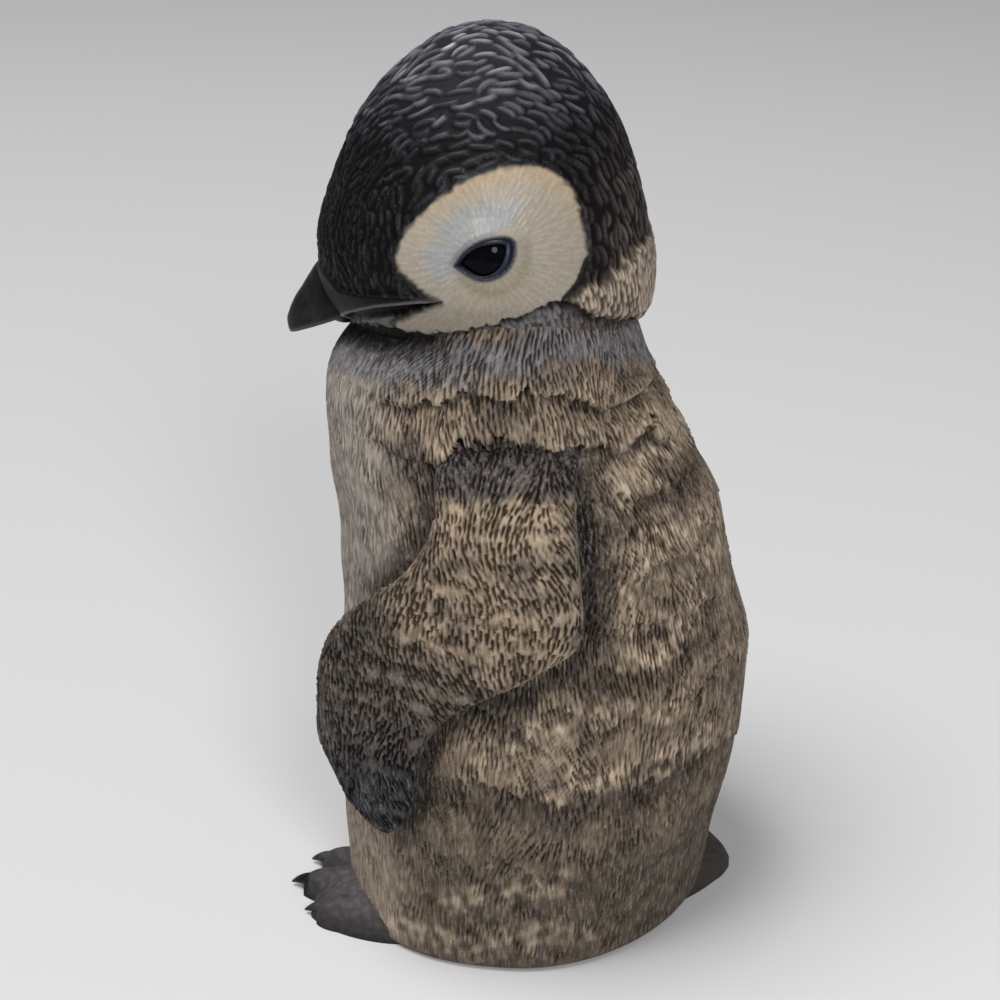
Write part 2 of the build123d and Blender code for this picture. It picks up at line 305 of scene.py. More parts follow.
highlight_bands = [
    [(643, 462), (665, 452), (684, 436)],
    [(612, 512), (632, 495), (657, 482)],
    [(629, 594), (640, 565), (657, 540), (724, 512)],
    [(637, 636), (685, 622), (700, 590), (716, 552)],
    [(629, 672), (665, 656), (692, 628)],
    [(476, 766), (523, 743), (573, 723), (611, 722), (676, 708)],
    [(549, 796), (579, 784), (637, 778), (680, 752), (715, 735)],
    [(453, 901), (500, 893), (560, 884)],
    [(388, 922), (430, 936), (476, 945), (530, 938), (579, 927)],
]
flipper_light = [(470, 520), (530, 508), (520, 560), (470, 590), (430, 610), (500, 640), (545, 645)]
armpit = [(408, 452), (426, 480), (430, 530), (405, 562), (380, 588)]
trailing_crease = [
    (578, 478), (583, 540), (588, 600), (592, 640), (570, 676), (520, 697), (470, 712), (436, 735),
    (424, 765), (422, 800), (402, 836),
]  # fmt: skip
shade_lines = [
    [(592, 480), (602, 560), (600, 640)],
    [(585, 548), (640, 505), (690, 470)],
    [(600, 690), (650, 680), (700, 640)],
    [(440, 800), (540, 808), (620, 800), (712, 745)],
]
collar_blue = [(335, 352), (390, 362), (440, 368), (500, 362), (570, 345), (640, 340)]
under_chin = [(335, 328), (365, 336), (400, 339), (425, 340)]


def tone(red, green, blue):
    """A colour read off the photograph, as Blender's linear light."""
    share = np.array([red, green, blue]) / 255
    return np.where(share <= 0.04045, share / 12.92, ((share + 0.055) / 1.055) ** 2.4)


def seen(points):
    """Where the camera sees each place, in pixels, with the far side folded onto the near one."""
    folded = points.copy()
    folded[..., 0] = np.abs(folded[..., 0])
    reach = folded - camera_place
    depth = reach @ -towards_camera
    sideways, upward = reach @ camera_right / depth, reach @ camera_up / depth
    return target_pixel + focal_pixels * np.stack([sideways, -upward], axis=-1)


def rise(values, low, high):
    """Goes smoothly from 0 at low to 1 at high."""
    share = np.clip((values - low) / (high - low), 0, 1)
    return share * share * (3 - 2 * share)


def unit(vectors):
    """The vectors at length 1."""
    return vectors / np.maximum(np.linalg.norm(vectors, axis=-1, keepdims=True), 1e-9)


def through(rows, places):
    """A smooth curve through rows whose first column is the place, read at the given places."""
    rows = np.array(rows)
    stations, values = rows[:, 0], rows[:, 1:]
    slopes = np.gradient(values, stations, axis=0)
    place = np.clip(places, stations[0], stations[-1])
    start = np.clip(np.searchsorted(stations, place) - 1, 0, len(stations) - 2)
    gap = (stations[start + 1] - stations[start])[..., None]
    t = (place - stations[start])[..., None] / gap
    return (
        (2 * t**3 - 3 * t**2 + 1) * values[start]
        + (t**3 - 2 * t**2 + t) * gap * slopes[start]
        + (3 * t**2 - 2 * t**3) * values[start + 1]
        + (t**3 - t**2) * gap * slopes[start + 1]
    )


def swell(points, size, seed, waves=16):
    """A smooth random field, mostly between -1 and 1, whose swells are about the given size."""
    rng = np.random.default_rng(seed)
    headings = unit(rng.normal(size=(waves, 3)))
    sizes = size * rng.uniform(0.7, 1.5, waves)
    turns = rng.uniform(0, 2 * pi, waves)
    total = np.zeros(points.shape[:-1])
    for heading, wave, turn in zip(headings, sizes, turns):
        total += np.cos(points @ heading * (2 * pi / wave) + turn)
    return total / waves**0.5


def from_line(pixels, line):
    """How many pixels each place is from a drawn line."""
    nearest = np.full(pixels.shape[:-1], np.inf)
    for start, end in zip(line[:-1], line[1:]):
        run = np.subtract(end, start)
        share = np.clip((pixels - start) @ run / (run @ run), 0, 1)
        gap = pixels - start - share[..., None] * run
        nearest = np.minimum(nearest, np.hypot(gap[..., 0], gap[..., 1]))
    return nearest


def inside_outline(pixels, outline):
    """How many pixels each place lies inside a closed outline, negative outside it."""
    across, down = pixels[..., 0], pixels[..., 1]
    within = np.zeros(across.shape, dtype=bool)
    closed = outline + outline[:1]
    for (x0, y0), (x1, y1) in zip(closed[:-1], closed[1:]):
        if y0 != y1:
            crossed = (y0 > down) != (y1 > down)
            within ^= crossed & (across < x0 + (x1 - x0) * (down - y0) / (y1 - y0))
    return np.where(within, 1, -1) * from_line(pixels, closed)


def above_line(pixels, line):
    """How many pixels each place lies above a drawn line."""
    across, level = np.array(line, dtype=float).T
    return np.interp(pixels[..., 0], across, level) - pixels[..., 1]


def brushed(paint, colour, weight):
    """Paint with a colour laid over it."""
    return paint + (colour - paint) * np.clip(weight, 0, 1)[..., None]


class Skin:
    """A closed surface in rows of points, carved with strokes that follow a flow over it."""

    def __init__(self, points, flow):
        self.points = points
        around = np.roll(points, -1, axis=1) - np.roll(points, 1, axis=1)
        along = np.gradient(points, axis=0)
        self.normals = unit(np.cross(around, along))
        middle = points.reshape(-1, 3).mean(axis=0)
        if np.sum((points - middle) * self.normals) < 0:
            self.normals = -self.normals
        flow = np.broadcast_to(flow, points.shape)
        self.along = unit(flow - np.sum(flow * self.normals, axis=2, keepdims=True) * self.normals)
        self.across = np.cross(self.normals, self.along)
        self.row_step = np.linalg.norm(along, axis=2)
        self.column_step = np.linalg.norm(around, axis=2) / 2
        self.groove, self.tint = np.zeros(points.shape[:2]), np.full(points.shape[:2], 0.5)

    def scatter(self, across, along, where, tries, seed):
        """Rows and columns of stroke middles, no nearer to each other than the two pitches."""
        rng = np.random.default_rng(seed)
        allowed = np.flatnonzero(where)
        chosen = rng.permutation(allowed)[: int(tries * len(allowed))]
        places, headings, sides = (
            array.reshape(-1, 3)[chosen].tolist() for array in (self.points, self.along, self.across)
        )
        kept, cells = [], {}
        for index, (x, y, z), (ax, ay, az), (bx, by, bz) in zip(chosen, places, headings, sides):
            i, j, k = int(x // along), int(y // along), int(z // along)
            crowded = False
            for cell in [(i + a, j + b, k + c) for a in (0, -1, 1) for b in (0, -1, 1) for c in (0, -1, 1)]:
                for px, py, pz in cells.get(cell, ()):
                    dx, dy, dz = px - x, py - y, pz - z
                    if ((dx * ax + dy * ay + dz * az) / along) ** 2 + (
                        (dx * bx + dy * by + dz * bz) / across
                    ) ** 2 < 1 and dx * dx + dy * dy + dz * dz < along * along:
                        crowded = True
                        break
                if crowded:
                    break
            if not crowded:
                kept.append(index)
                cells.setdefault((i, j, k), []).append((x, y, z))
        return np.unravel_index(np.array(kept), self.groove.shape)

    def stroke(self, across, along, length, width, bend, where, tip=-0.35, tries=0.5, seed=1):
        """Marks strokes of about the given length and half width, each a little bent.

        They taper towards their start where the tip is positive and towards their end where it is
        negative.
        """
        rng = np.random.default_rng(seed + 100)
        rows, columns = self.groove.shape
        for i, j in zip(*self.scatter(across, along, where, tries, seed)):
            half = length * rng.uniform(0.35, 0.65)
            slim = width * rng.uniform(0.8, 1.25)
            bow, deep = bend * rng.uniform(-1, 1), rng.uniform(0.65, 1)
            reach = half + slim
            high = ceil(reach / max(self.row_step[i, j], reach / rows))
            wide = min(ceil(reach / max(self.column_step[i, j], reach / columns)), columns // 2 - 1)
            near_rows = np.arange(max(i - high, 0), min(i + high + 1, rows))[:, None]
            near_columns = np.arange(j - wide, j + wide + 1)[None] % columns
            offset = self.points[near_rows, near_columns] - self.points[i, j]
            forward = offset @ self.along[i, j] / half
            sideways = offset @ self.across[i, j] / slim - bow * forward**2
            taper = 1 + tip * forward
            mark = np.clip(1 - (sideways / taper) ** 2, 0, 1) * np.clip(1 - forward**4, 0, 1)
            mark *= deep * (1 + tip * (forward - 1)) * (np.sum(offset**2, axis=2) < reach**2)
            spot = self.groove[near_rows, near_columns]
            shades = self.tint[near_rows, near_columns]
            self.tint[near_rows, near_columns] = np.where(mark > spot, rng.random(), shades)
            self.groove[near_rows, near_columns] = np.maximum(spot, mark)


def surface(name, points, material, paint=None, groove=None, replaces=(), filled=True):
    """A piece made of rows of points that close round on themselves, with its ends filled or open."""
    rows, columns = points.shape[:2]
    index = np.arange(rows * columns).reshape(rows, columns)
    beside = np.roll(index, -1, axis=1)
    quads = np.stack([index[:-1], beside[:-1], beside[1:], index[1:]], axis=-1).reshape(-1, 4)
    normals = np.cross(points[:-1] - np.roll(points, -1, axis=1)[:-1], points[1:] - points[:-1])
    middle = points.reshape(-1, 3).mean(axis=0)
    flipped = np.sum((points[:-1] - middle) * normals) > 0
    faces = quads.tolist()
    if filled:
        faces += [index[0, ::-1].tolist(), index[-1].tolist()]
    if flipped:
        faces = [face[::-1] for face in faces]
    mesh = bpy.data.meshes.new(name)
    mesh.from_pydata((points.reshape(-1, 3) * METRES).tolist(), [], faces)
    mesh.shade_smooth()
    if paint is not None:
        colours = np.ones((rows * columns, 4), dtype=np.float32)
        colours[:, :3] = paint.reshape(-1, 3)
        mesh.attributes.new("paint", "FLOAT_COLOR", "POINT").data.foreach_set("color", colours.ravel())
    if groove is not None:
        depths = groove.astype(np.float32).ravel()
        mesh.attributes.new("groove", "FLOAT", "POINT").data.foreach_set("value", depths)
    piece = bpy.data.objects.new(name, mesh)
    bpy.context.collection.objects.link(piece)
    mesh.materials.append(material)
    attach(piece, "root")
    if replaces:
        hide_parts(*replaces)


class Signal:
    """A shader socket that does arithmetic: an expression on signals adds its Math nodes."""

    def __init__(self, tree, socket):
        self.tree, self.socket = tree, socket

    def math(self, operation, *values):
        node = self.tree.nodes.new("ShaderNodeMath")
        node.operation = operation
        for place, value in zip(node.inputs, values):
            if isinstance(value, Signal):
                self.tree.links.new(value.socket, place)
            else:
                place.default_value = value
        return Signal(self.tree, node.outputs[0])

    def __add__(self, other):
        return self.math("ADD", self, other)

    def __sub__(self, other):
        return self.math("SUBTRACT", self, other)

    def __rsub__(self, other):
        return self.math("SUBTRACT", other, self)

    def __mul__(self, other):
        return self.math("MULTIPLY", self, other)

    def __truediv__(self, other):
        return self.math("DIVIDE", self, other)

    __radd__, __rmul__ = __add__, __mul__

    def clamped(self):
        return self.math("MINIMUM", self.math("MAXIMUM", self, 0.0), 1.0)


class Finish:
    """A material in the making."""

    def __init__(self, name):
        self.material = bpy.data.materials.new(name)
        self.material.use_nodes = True
        self.tree = self.material.node_tree
        self.shader = self.tree.nodes["Principled BSDF"]

    def node(self, kind, settings, sockets, output=0):
        """Any node but plain arithmetic: its settings first, then its sockets' values or links."""
        made = self.tree.nodes.new("ShaderNode" + kind)
        for name, value in settings.items():
            setattr(made, name, value)
        for name, value in sockets.items():
            if isinstance(value, Signal):
                self.tree.links.new(value.socket, made.inputs[name])
            else:
                made.inputs[name].default_value = value
        return Signal(self.tree, made.outputs[output])

    def millimetres(self, stretch=(1.0, 1.0, 1.0)):
        """The place on the piece in millimetres, squeezed or stretched along the axes."""
        place = self.node("TexCoord", {}, {}, "Object")
        scale = tuple(share / METRES for share in stretch)
        return self.node("VectorMath", {"operation": "MULTIPLY"}, {0: place, 1: scale})

    def noise(self, size, detail=2.0, stretch=(1.0, 1.0, 1.0)):
        """Noise between 0 and 1 whose grains are about the given size in millimetres."""
        sockets = {"Vector": self.millimetres(stretch), "Scale": 1 / size, "Detail": detail}
        return self.node("TexNoise", {}, sockets, "Fac")

    def mixed(self, factor, first, second, blend="MIX"):
        """Two colours mixed by a factor."""
        settings = {"data_type": "RGBA", "blend_type": blend}
        return self.node("Mix", settings, {0: factor, 6: first, 7: second}, 2)

    def done(self, sockets, bump=None, depth=0.0):
        """Sets the shader's sockets, with a bump of the given depth in millimetres."""
        if bump is not None:
            bumped = self.node("Bump", {}, {"Height": bump, "Distance": depth * METRES, "Strength": 1.0})
            self.tree.links.new(bumped.socket, self.shader.inputs["Normal"])
        for name, value in sockets.items():
            place = self.shader.inputs[name]
            if isinstance(value, Signal):
                self.tree.links.new(value.socket, place)
            else:
                place.default_value = value
        return self.material


def carved_finish(name, wash, roughness, shine, strand, speckle, depth):
    """Painted resin whose grooves hold a dark wash and whose ridges keep the paint; the groove attribute also
    carries painted shade under the chin and in the mouth, which darkens like the wash.
    """
    finish = Finish(name)
    paint = finish.node("Attribute", {"attribute_name": "paint"}, {}, "Color")
    groove = finish.node("Attribute", {"attribute_name": "groove"}, {}, "Fac")
    fibre = finish.noise(0.42, 2.0, (1.0, 1.0, 0.2))
    grit = finish.noise(0.45, 3.0)
    cloud = finish.noise(2.4, 3.0)
    hairs = fibre * strand + grit * (1 - strand)
    # Darkening from the wash in the grooves, from the painted shade that the groove attribute carries, and
    # from noise
    wash_and_shade = (groove * 1.15 + (hairs - 0.5) * speckle + (cloud - 0.5) * 0.4 * speckle).clamped()
    dark = finish.mixed(1.0, paint, (*wash, 1.0), "MULTIPLY")
    worn = ((0.5 - hairs) * 1.7 * speckle).clamped()
    light = finish.mixed(worn, paint, finish.mixed(0.25, paint, (1.0, 1.0, 1.0, 1.0)))
    sockets = {
        "Base Color": finish.mixed(wash_and_shade, light, dark),
        "Roughness": roughness + (cloud - 0.5) * 0.2 + groove * 0.3,
        "Specular IOR Level": shine,
    }
    return finish.done(sockets, hairs * -1 + grit * 0.3, depth)


down_paint = carved_finish("down paint", (0.20, 0.18, 0.17), 0.66, 0.12, 0.75, 1.3, 0.12)
flipper_paint = carved_finish("flipper paint", (0.16, 0.145, 0.14), 0.62, 0.12, 0.7, 1.1, 0.10)
head_paint = carved_finish("head paint", (0.12, 0.115, 0.12), 0.30, 0.13, 0.0, 0.3, 0.03)


def body_outline(height, angles):
    """The torso's outline at each height, round from its left side, without its tiers."""
    rows = tier_section_shares + neck_section_shares
    front, back, width, front_corner, back_corner = np.moveaxis(
        through(rows, height / body_height), -1, 0
    )
    middle = (front + back) / 2 * body_depth
    half_depth, half_width = (back - front) / 2 * body_depth, width * body_width / 2
    corner = np.where(np.sin(angles) < 0, front_corner, back_corner)
    roundness = 2 * np.log(corner) / log(0.5)
    x = half_width * np.sign(np.cos(angles)) * np.abs(np.cos(angles)) ** roundness
    y = half_depth * np.sign(np.sin(angles)) * np.abs(np.sin(angles)) ** roundness
    return x, middle + y


# Torso: the underside, the round of the skirt, the wall and the stump under the head
quick = 1.0
columns = int(torso_grid[1] * quick)
turns = np.linspace(0, pi / 2, 7)[:-1]
profile = [(felt_step, share) for share in np.linspace(0.04, 0.94, 9)]
profile += [
    (skirt_round * (1 - cos(turn)), 1 - skirt_round / (body_width / 2) * (1 - sin(turn))) for turn in turns
]
profile += [(height, 1.0) for height in np.linspace(skirt_round, 100, int(torso_grid[0] * quick))]
profile += [(height, 1.0) for height in (101, 102, 103, body_height)]
profile += [(body_height, share) for share in (0.7, 0.4, 0.05)]
heights, shares = np.array(profile).T
angles = np.linspace(0, 2 * pi, columns, endpoint=False)[None]
x, y = body_outline(heights[:, None], angles)
middle_y = y.mean(axis=1, keepdims=True)
body_form = np.stack(
    [x * shares[:, None], middle_y + (y - middle_y) * shares[:, None], heights[:, None] + 0 * x], axis=2
)
form = Skin(body_form, [0.0, 0.0, -1.0])
pixels = seen(body_form)
height = body_form[..., 2]
facing_front = -form.normals[..., 1]
wall = rise(height, 0.5, 5.0) * (1 - rise(height, 101.0, 103.0))
chest = rise(facing_front, 0.3, 0.75) * rise(height, 22, 40)

lips = np.array([row[0] for row in tier_section_shares]) * body_height
first_lift, second_lift = np.moveaxis(through(collar_lifts, body_form[..., 1]), -1, 0)
lift = first_lift * rise(height, lips[-2] + 2, lips[-1] - 1)
below_top = 1 - rise(height, lips[-2] + 2, lips[-1] - 1)
lift += second_lift * rise(height, lips[-3] + 4, lips[-2] - 1) * below_top
jagged = body_form * [1.0, 1.0, 0.25]
level = height - lift + 1.9 * swell(body_form, 20, 3) * (1 - rise(height, 78, 86))
level += 0.7 * swell(body_form, 6, 4)
level += 0.5 * swell(jagged, 1.7, 6)
start = np.clip(np.searchsorted(lips, level, side="right") - 1, 0, len(lips) - 2)
climb = np.clip((level - lips[start]) / (lips[start + 1] - lips[start]), 0, 1)
stand_out = lip_overhang - (lip_overhang + lip_hollow) * climb
collar_top = neck_section_shares[0][0] * body_height
over_collar = np.clip((level - lips[-1]) / (collar_top - lips[-1]), 0, 1)
stand_out = np.where(level > lips[-1], lip_overhang * (1 - over_collar), stand_out)
climb = np.where(level > lips[-1], over_collar * 0.5, climb)
reach = 1 - 0.9 * rise(facing_front, 0.2, 0.9)
collar = rise(height, 76, 84)
shoulder = rise(-np.abs(body_form[..., 1] + 1), -11, -6) * rise(level, lips[-2] - 0.5, lips[-2] + 1)
shoulder *= 1 - rise(height, 86, 93)
uneven = np.clip(0.5 + 0.34 * swell(body_form, 10, 10), 0.1, 1.0)
relief = stand_out * reach * (uneven * (1 - 0.6 * collar) + 0.7 * collar)
relief += shoulder_swell * shoulder
relief += 0.22 * swell(body_form, 12, 5) * (1 - collar)
hollow = 1 - rise(from_line(pixels, trailing_crease), 3, 20)
relief -= crease_depth * hollow * (height < 84)
relief *= wall * (0.55 + 0.45 * rise(height, 30, 50))

flow = np.stack(
    [0.35 * swell(body_form, 16, 11), 0.35 * swell(body_form, 16, 12) + 0.25 * chest, -1 + 0 * height],
    axis=2,
)
torso = Skin(body_form + relief[..., None] * form.normals, flow)
torso.stroke(across=0.56, along=1.5, length=2.5, width=0.22, bend=1.0, where=wall > 0.2, seed=21)
soft_low = 1 - rise(height, 12, 45)
depth = 0.85 + 0.3 * swell(body_form, 5, 22) - 0.4 * chest - 0.45 * soft_low + 0.15 * collar
slit = torso.groove * np.clip(depth, 0.2, 1)

patch = swell(body_form, 9, 13) + 0.6 * swell(body_form, 4, 14)
fleck = swell(body_form * [1.0, 1.0, 0.5], 1.5, 15)
lip_light = np.exp(-climb / 0.30) * (0.6 + 0.3 * swell(body_form, 7, 18)) * reach * (level < lips[-1] + 5)
lip_light *= np.clip(uneven + 0.3 * collar, 0, 1)
# Painted shade in the hollow under each lip
under_lip_shade = rise(climb, 0.72, 0.95) * reach * (level < lips[-1]) * np.clip(uneven + 0.4 * collar, 0, 1)
paint = np.broadcast_to(tone(140, 123, 105), body_form.shape)
paint = brushed(paint, tone(92, 82, 72), rise(patch, 0.1, 1.4) * 0.75)
paint = brushed(paint, tone(172, 153, 130), rise(-patch, 0.3, 1.6) * 0.6)
paint = brushed(paint, tone(214, 193, 166), lip_light * (0.5 + 0.5 * collar) * (1 - chest))
paint = brushed(paint, tone(66, 58, 51), under_lip_shade * (0.5 + 0.4 * collar) * (1 - chest))
paint = brushed(paint, tone(166, 157, 147), chest * 0.92)
front_skirt = rise(facing_front, 0.35, 0.8) * (1 - rise(height, 18, 32))
paint = brushed(paint, tone(160, 146, 130), front_skirt * 0.8)
side_skirt = (1 - rise(height, 14, 40)) * (1 - rise(facing_front, 0.3, 0.7))
paint = brushed(paint, tone(92, 81, 69), side_skirt * 0.9)
for line in shade_lines:
    gap = from_line(pixels, line) + 5 * swell(body_form, 4.5, 23)
    paint = brushed(paint, tone(72, 62, 53), (1 - rise(gap, 4, 28)) * 0.75)
# Painted highlights in bands along the rolls of down on the back and on the skirt
band_highlight = np.zeros(height.shape)
for line in highlight_bands:
    gap = from_line(pixels, line) + 4.5 * swell(body_form, 4.5, 8) + 2.5 * swell(body_form, 1.8, 9)
    band_highlight = np.maximum(band_highlight, 1 - rise(gap, 2.0, 17.0))
band_highlight *= np.clip(0.5 + 0.55 * fleck, 0, 1) * (0.55 + 0.45 * rise(height, 14, 40))
paint = brushed(paint, tone(198, 178, 153), 0.9 * band_highlight * (1 - 0.7 * chest))
blue = 1 - rise(from_line(pixels, collar_blue) + 5 * swell(body_form, 4, 16), 8, 34)
paint = brushed(paint, tone(126, 125, 131), blue * 0.8)
# Painted shade in the armpit, between the flipper's front edge and the body
armpit_shade = 1 - rise(from_line(pixels, armpit) + 3 * swell(body_form, 5, 17), 4, 30)
paint = brushed(paint, tone(76, 66, 60), armpit_shade * 0.85)
# Painted shade in the crease behind the flipper, which is also carved in above
paint = brushed(paint, tone(40, 36, 34), hollow * 0.8)
chin_shade = 1 - rise(from_line(pixels, under_chin) + 2 * swell(body_form, 2.5, 24), 3, 24)
paint = brushed(paint, tone(28, 28, 31), chin_shade * 0.85)
paint = paint * (0.86 + 0.15 * fleck)[..., None]

groove = np.maximum(slit, 0.6 * chin_shade)
surface(
    "torso_down",
    torso.points - ((torso_inset + torso_slit_depth * slit) * wall)[..., None] * torso.normals,
    down_paint,
    np.clip(paint, 0, 1),
    groove,
    ("body",),
)

# Head: rings round the eye-to-eye axis, so that the strokes run from the bill over to the nape
head_rows, head_columns = (int(count * quick) for count in head_grid)
tilt = np.linspace(0, pi, head_rows + 2)[1:-1, None]
turn = np.linspace(0, 2 * pi, head_columns, endpoint=False)[None]
rays = np.stack([np.cos(tilt) + 0 * turn, -np.sin(tilt) * np.cos(turn), np.sin(tilt) * np.sin(turn)], axis=2)


def inside_head(points):
    """Whether each place is inside the head's form."""
    share = (points[..., 2] - head_seam_height) / head_height
    front, back, width = np.moveaxis(through(head_section_shares, share), -1, 0)
    along = (points[..., 1] / head_depth - (front + back) / 2) / ((back - front) / 2)
    across = points[..., 0] / (width * head_width / 2)
    return (along**2 + across**2 < 1) & (share > 0) & (share < head_section_shares[-1][0])


nearer, farther = np.zeros(rays.shape[:2]), np.full(rays.shape[:2], head_height)
for _ in range(26):
    between = (nearer + farther) / 2
    inner = inside_head(head_middle + rays * between[..., None])
    nearer, farther = np.where(inner, between, nearer), np.where(inner, farther, between)
for _ in range(6):
    nearer = (np.roll(nearer, 1, axis=1) + 2 * nearer + np.roll(nearer, -1, axis=1)) / 4
    nearer[1:-1] = (nearer[:-2] + 2 * nearer[1:-1] + nearer[2:]) / 4
head_form = head_middle + rays * nearer[..., None]

eye_axis = np.array(
    [
        cos(eye_forward_turn) * cos(eye_upward_turn),
        -sin(eye_forward_turn) * cos(eye_upward_turn),
        sin(eye_upward_turn),
    ]
)
eye_nape = np.array([0.0, cos(lid_opening_tilt), sin(lid_opening_tilt)])
eye_nape = unit(eye_nape - eye_nape @ eye_axis * eye_axis)
eye_crown = np.cross(eye_axis, eye_nape)


def smooth_line(line, count):
    """Points evenly spread along a smooth curve through the given ones."""
    line = np.array(line, dtype=float)
    run = np.append(0, np.cumsum(np.linalg.norm(np.diff(line, axis=0), axis=1)))
    return through(np.column_stack([run, line]), np.linspace(0, run[-1], count))


lid_line = np.concatenate([smooth_line(upper_lid, 36)[:-1], smooth_line(lower_lid, 44)[:0:-1]])

form = Skin(head_form, [0.0, 0.0, 1.0])
pixels = seen(head_form)
mirrored = np.where(head_form[..., :1] < 0, [-1.0, 1.0, 1.0], [1.0, 1.0, 1.0])
folded, folded_normals = head_form * mirrored, form.normals * mirrored
offset = folded - eye_centre
from_eye = np.linalg.norm(offset, axis=2)
outward = np.sum(offset * folded_normals, axis=2)
lid_radius = eye_radius + lid_thickness
room = outward**2 - from_eye**2 + lid_radius**2
proud = np.where(room > 0, np.sqrt(np.clip(room, 0, None)) - outward, -1.0)
near_eye = from_eye < eye_zone
relief = np.where(near_eye, 0.35 * np.log1p(np.exp(np.clip(proud / 0.35, -20, 20))), 0)
eye_place = np.stack([offset @ eye_nape, offset @ eye_crown], axis=2)
lid_outline = [tuple(place) for place in lid_line[::3]]
opening = np.where(near_eye, -inside_outline(eye_place, lid_outline), eye_zone)
relief -= 1.9 * (1 - rise(opening, -0.7, 0.0))

furry_edge = 0.7 * swell(head_form, 2.0, 31) + 0.5 * swell(head_form, 0.8, 32)
mask_depth = inside_outline(pixels, mask_outline) + furry_edge
mask = rise(mask_depth, -2.5, 4.0)
over_neck = above_line(pixels, neck_edge) + 2.5 * furry_edge
ruff = 1 - rise(over_neck, -1.5, 1.5)
bill_root = rise(inside_outline(pixels, bill_skin), -1.5, 1.5) * (pixels[..., 1] < chin_row)
gap = rise(inside_outline(pixels, mouth_gap), -1.5, 1.0)
jaw = rise(inside_outline(pixels, lower_jaw), -1.5, 1.5) * (1 - gap)
ridge_line = np.exp(-((from_line(pixels, mouth_ridge) / 1.8) ** 2))
nape = rise(inside_outline(pixels, nape_patch) + 3 * swell(head_form, 3, 33), -4, 8) * (1 - ruff)
ear_crease_and_shade = 1 - rise(from_line(pixels, ear_crease), 1.5, 7.0)
mask, bill_root, jaw = mask * (1 - ruff), bill_root * (1 - ruff), jaw * (1 - ruff)
relief += 0.3 * bill_root + 0.15 * ridge_line - 1.0 * gap + 0.4 * nape - 0.5 * ear_crease_and_shade + 0.25 * mask
relief -= (0.9 - 0.5 * rise(-over_neck, 3, 18)) * ruff

radial = unit(offset - outward[..., None] * folded_normals) * mirrored
ring = unit(np.roll(head_form, -1, axis=1) - np.roll(head_form, 1, axis=1))
wander = 0.5 * swell(head_form, 7, 34)[..., None]
flow = ring + wander * radial
flow = np.where((mask > 0.5)[..., None], radial + 0.3 * wander * ring, flow)
flow = np.where(((nape > 0.5) | (ruff > 0.5))[..., None], np.array([0.0, 0.35, -1.0]), flow)
head = Skin(head_form + relief[..., None] * form.normals, flow)
bare = (opening < 0.6) | (bill_root + gap + jaw > 0.3)
hooded = (mask < 0.5) & ~bare & (nape < 0.6) & (ruff < 0.5)
fine = (pixels[..., 0] < fine_column + 10 * swell(head_form, 5, 37)) & (pixels[..., 1] > fine_row)
# Coarse and fine strokes of the hood, those of the mask, and those of the nape and the ruff
stroke_sets = [
    {"across": 1.15, "along": 2.9, "length": 3.8, "width": 0.58, "bend": 1.3, "tip": 0.1},
    {"across": 0.85, "along": 2.0, "length": 2.6, "width": 0.43, "bend": 1.1, "tip": 0.1},
    {"across": 0.62, "along": 1.9, "length": 2.6, "width": 0.30, "bend": 0.4, "tip": 0.2},
    {"across": 0.62, "along": 1.6, "length": 2.6, "width": 0.36, "bend": 1.2, "tip": 0.3},
]
stroke_places = [hooded & ~fine, hooded & fine, (mask > 0.4) & ~bare, nape + ruff > 0.2]
marks = []
for seed, (settings, where) in enumerate(zip(stroke_sets, stroke_places), start=41):
    head.groove[:] = 0
    head.stroke(where=where, seed=seed, **settings)
    marks.append(head.groove.copy())
hood_ridge, fur_ridge, tuft_ridge = np.maximum(marks[0], marks[1]), marks[2], marks[3]

patch = swell(head_form, 8, 35)
paint = np.broadcast_to(tone(34, 32, 37), head_form.shape)
# Painted highlight: faces that turn upwards are lighter
paint = brushed(paint, tone(138, 134, 144), rise(form.normals[..., 2], 0.40, 0.95) * 0.9)
rear = rise(pixels[..., 0], *rear_columns) * rise(pixels[..., 1], *rear_rows)
paint = brushed(paint, tone(92, 80, 74), rear * 0.8)
paint = brushed(paint, tone(62, 60, 67), rise(patch, 0.4, 1.6) * 0.3)
# Painted shade on the fore side of the head, below the crown
fore_shade = (1 - rise(pixels[..., 0], *fore_shade_columns)) * rise(pixels[..., 1], *fore_shade_rows)
paint = brushed(paint, tone(22, 21, 25), fore_shade * 0.85)
# Painted highlights on the tops of the hood's ridges, with darker hollows between them, stronger towards the
# front
ridge_highlight = 1 - rise(pixels[..., 0], *ridge_highlight_columns)
paint = paint * (0.6 + 1.7 * head.tint * hood_ridge**2)[..., None]
paint = paint * (1 + 2.2 * ridge_highlight * head.tint**3 * hood_ridge**3)[..., None]
cream = np.broadcast_to(tone(174, 165, 149), head_form.shape)
top_edge = 1 - rise(mask_depth, 4, 28)
cream = brushed(cream, tone(184, 164, 138), top_edge * rise(mask_top_row - pixels[..., 1], -20, 40))
cream = brushed(cream, tone(156, 146, 132), rise(pixels[..., 1], *mask_foot_rows) * 0.8)
haze = 1 - rise(from_line(pixels, brow_blue) + 5 * swell(head_form, 3, 36), 4, 24)
cream = brushed(cream, tone(158, 166, 178), haze * 0.55)
cream = brushed(cream, tone(180, 170, 144), (1 - rise(from_line(pixels, under_eye), 4, 26)) * 0.5)
cream = brushed(cream, tone(150, 140, 124), (1 - rise(mask_depth, 0, 5)) * 0.5)
paint = brushed(paint, cream * 0.87, mask)
paint = brushed(paint, tone(212, 192, 170), nape * (0.55 + 0.45 * rise(tuft_ridge, 0.1, 0.6)))
collar_paint = np.broadcast_to(tone(140, 136, 138), head_form.shape)
